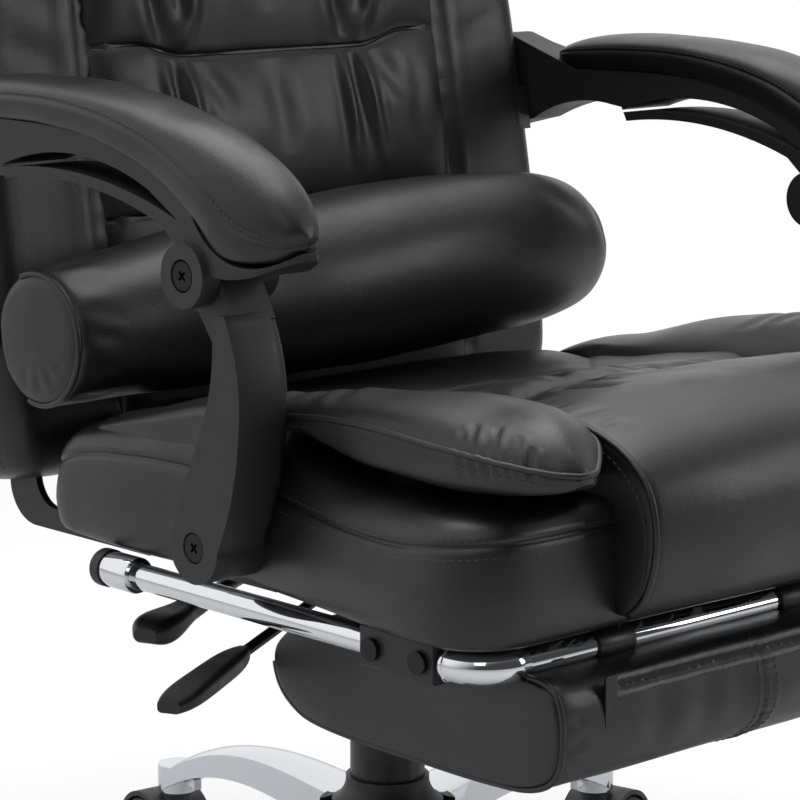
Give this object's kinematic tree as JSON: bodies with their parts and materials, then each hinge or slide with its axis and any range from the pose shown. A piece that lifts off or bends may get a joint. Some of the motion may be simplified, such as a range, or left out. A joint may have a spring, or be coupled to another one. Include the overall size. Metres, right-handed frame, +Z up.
{
  "type": "reclining office chair with footrest",
  "caption": "Black synthetic-leather executive office chair that reclines with linked armrests, a lumbar roll, a pull-out flip footrest and a polished star base on twin-wheel casters.",
  "frame": {"origin": "on the floor, on the axis of the gas column", "axes": "+Z up, -Y is the way the sitter faces, -X is the sitter's right hand"},
  "size_m": [0.6113, 0.7105, 1.0732],
  "materials": {
    "black_leather": "soft grained synthetic leather",
    "satin_plastic": "fine texture",
    "black_plastic": "smooth moulded",
    "nylon": "smooth nylon",
    "polished_aluminium": "polished",
    "chrome": "polished",
    "black_steel": "powder coat",
    "zinc_steel": "zinc plated",
    "plywood": "raw birch plywood",
    "webbing": "elastic webbing"
  },
  "bodies": {
    "base": {"five_star_base": "polished_aluminium", "base_collar": "black_plastic", "caster_stems": "zinc_steel", "gas_outer_tube": "black_steel", "gas_guide_bush": "black_plastic"},
    "column_rod": {"gas_rod": "zinc_steel"},
    "seat": {"gas_cylinder": "chrome", "mechanism_plate": "black_steel", "mechanism_housing": "black_steel", "seat_screws": "zinc_steel", "seat_board": "plywood", "seat_base_cushion": "black_leather", "seat_centre_panel": "black_leather", "seat_side_pad_l": "black_leather", "seat_side_pad_r": "black_leather", "arm_brackets": "black_steel", "link_bolts": "zinc_steel", "footrest_guide_l": "black_plastic", "footrest_guide_r": "black_plastic", "hinge_seat_ears": "black_steel"},
    "height_lever": {"height_lever_rod": "zinc_steel", "height_lever_grip": "black_plastic"},
    "recline_lever_body": {"recline_lever": "black_plastic"},
    "back": {"back_cushion": "black_leather", "back_board": "plywood", "rear_panel": "black_leather", "back_centre_panel": "black_leather", "headrest_pillow": "black_leather", "hinge_back_ears": "black_steel", "rear_bolts": "zinc_steel", "lumbar_roll": "black_leather", "roll_strap": "webbing"},
    "link_l": {"front_link_l": "satin_plastic"},
    "link_r": {"front_link_r": "satin_plastic"},
    "beam_l": {"arm_beam_l": "satin_plastic", "arm_pad_l": "black_leather", "knuckle_bolt_l": "zinc_steel"},
    "beam_r": {"arm_beam_r": "satin_plastic", "arm_pad_r": "black_leather", "knuckle_bolt_r": "zinc_steel"},
    "footrest_frame": {"footrest_rails": "chrome", "footrest_crossbar": "chrome", "footrest_elbows": "chrome", "rail_sleeves": "chrome", "rail_caps": "black_plastic"},
    "leg_pad": {"footrest_pad": "black_leather", "footrest_board": "plywood", "footrest_clips": "zinc_steel", "zip_pull": "zinc_steel"},
    "caster_1": {"caster_hood_1": "black_plastic"},
    "wheels_1": {"caster_wheels_1": "nylon"},
    "caster_2": {"caster_hood_2": "black_plastic"},
    "wheels_2": {"caster_wheels_2": "nylon"},
    "caster_3": {"caster_hood_3": "black_plastic"},
    "wheels_3": {"caster_wheels_3": "nylon"},
    "caster_4": {"caster_hood_4": "black_plastic"},
    "wheels_4": {"caster_wheels_4": "nylon"},
    "caster_5": {"caster_hood_5": "black_plastic"},
    "wheels_5": {"caster_wheels_5": "nylon"}
  },
  "joints": [
    {"name": "seat_swivel", "type": "hinge", "parent": "base", "child": "column_rod", "pos_m": [0, 0, 0.2], "axis": [0, 0, 1], "continuous": true},
    {"name": "gas_lift", "type": "slide", "parent": "column_rod", "child": "seat", "axis": [0, 0, 1], "range_m": [0, 0.1]},
    {"name": "recline", "type": "hinge", "parent": "seat", "child": "back", "pos_m": [0, 0.1259, 0.4005], "axis": [-1, 0, 0], "range_deg": [0, 30]},
    {"name": "link_l_swing", "type": "hinge", "parent": "seat", "child": "link_l", "pos_m": [0.2657, -0.1519, 0.3588], "axis": [-1, 0, 0], "range_deg": [0, 30]},
    {"name": "arm_l_level", "type": "hinge", "parent": "link_l", "child": "beam_l", "pos_m": [0.2657, -0.1528, 0.5143], "axis": [-1, 0, 0], "range_deg": [-30, 0]},
    {"name": "link_r_swing", "type": "hinge", "parent": "seat", "child": "link_r", "pos_m": [-0.2657, -0.1519, 0.3588], "axis": [-1, 0, 0], "range_deg": [0, 30]},
    {"name": "arm_r_level", "type": "hinge", "parent": "link_r", "child": "beam_r", "pos_m": [-0.2657, -0.1528, 0.5143], "axis": [-1, 0, 0], "range_deg": [-30, 0]},
    {"name": "footrest_slide", "type": "slide", "parent": "seat", "child": "footrest_frame", "axis": [0, -1, 0], "range_m": [0, 0.21]},
    {"name": "leg_pad_flip", "type": "hinge", "parent": "footrest_frame", "child": "leg_pad", "pos_m": [0, -0.3442, 0.3177], "axis": [-1, 0, 0], "range_deg": [0, 180]},
    {"name": "height_lever_lift", "type": "hinge", "parent": "seat", "child": "height_lever", "pos_m": [-0.045, -0.022, 0.286], "axis": [-0.4384, 0.8988, 0], "range_deg": [0, 5], "stiffness_Nm_per_rad": 2.12, "springref_deg": -5.16},
    {"name": "recline_lever_lift", "type": "hinge", "parent": "seat", "child": "recline_lever_body", "pos_m": [-0.045, 0.052, 0.286], "axis": [-0.3987, 0.9171, 0], "range_deg": [0, 5], "stiffness_Nm_per_rad": 2.12, "springref_deg": -5.16},
    {"name": "caster_1_swivel", "type": "hinge", "parent": "base", "child": "caster_1", "pos_m": [0.25627, 0.05447, 0.05], "axis": [0, 0, 1], "continuous": true},
    {"name": "wheels_1_roll", "type": "hinge", "parent": "caster_1", "child": "wheels_1", "pos_m": [0.27192, 0.0578, 0.025], "axis": [-0.2079, 0.9781, 0], "continuous": true},
    {"name": "caster_2_swivel", "type": "hinge", "parent": "base", "child": "caster_2", "pos_m": [0.02739, 0.26056, 0.05], "axis": [0, 0, 1], "continuous": true},
    {"name": "wheels_2_roll", "type": "hinge", "parent": "caster_2", "child": "wheels_2", "pos_m": [0.02906, 0.27648, 0.025], "axis": [-0.9945, 0.1045, 0], "continuous": true},
    {"name": "caster_3_swivel", "type": "hinge", "parent": "base", "child": "caster_3", "pos_m": [-0.23935, 0.10656, 0.05], "axis": [0, 0, 1], "continuous": true},
    {"name": "wheels_3_roll", "type": "hinge", "parent": "caster_3", "child": "wheels_3", "pos_m": [-0.25397, 0.11307, 0.025], "axis": [-0.4067, -0.9135, 0], "continuous": true},
    {"name": "caster_4_swivel", "type": "hinge", "parent": "base", "child": "caster_4", "pos_m": [-0.17531, -0.1947, 0.05], "axis": [0, 0, 1], "continuous": true},
    {"name": "wheels_4_roll", "type": "hinge", "parent": "caster_4", "child": "wheels_4", "pos_m": [-0.18602, -0.20659, 0.025], "axis": [0.7431, -0.6691, 0], "continuous": true},
    {"name": "caster_5_swivel", "type": "hinge", "parent": "base", "child": "caster_5", "pos_m": [0.131, -0.2269, 0.05], "axis": [0, 0, 1], "continuous": true},
    {"name": "wheels_5_roll", "type": "hinge", "parent": "caster_5", "child": "wheels_5", "pos_m": [0.139, -0.24075, 0.025], "axis": [0.866, 0.5, 0], "continuous": true}
  ],
  "couplings": [
    {"joint": "leg_pad_flip", "follows": "footrest_slide", "rad_per_m": 14.96},
    {"joint": "link_l_swing", "follows": "recline", "ratio": 1},
    {"joint": "arm_l_level", "follows": "recline", "ratio": -1},
    {"joint": "link_r_swing", "follows": "recline", "ratio": 1},
    {"joint": "arm_r_level", "follows": "recline", "ratio": -1}
  ]
}
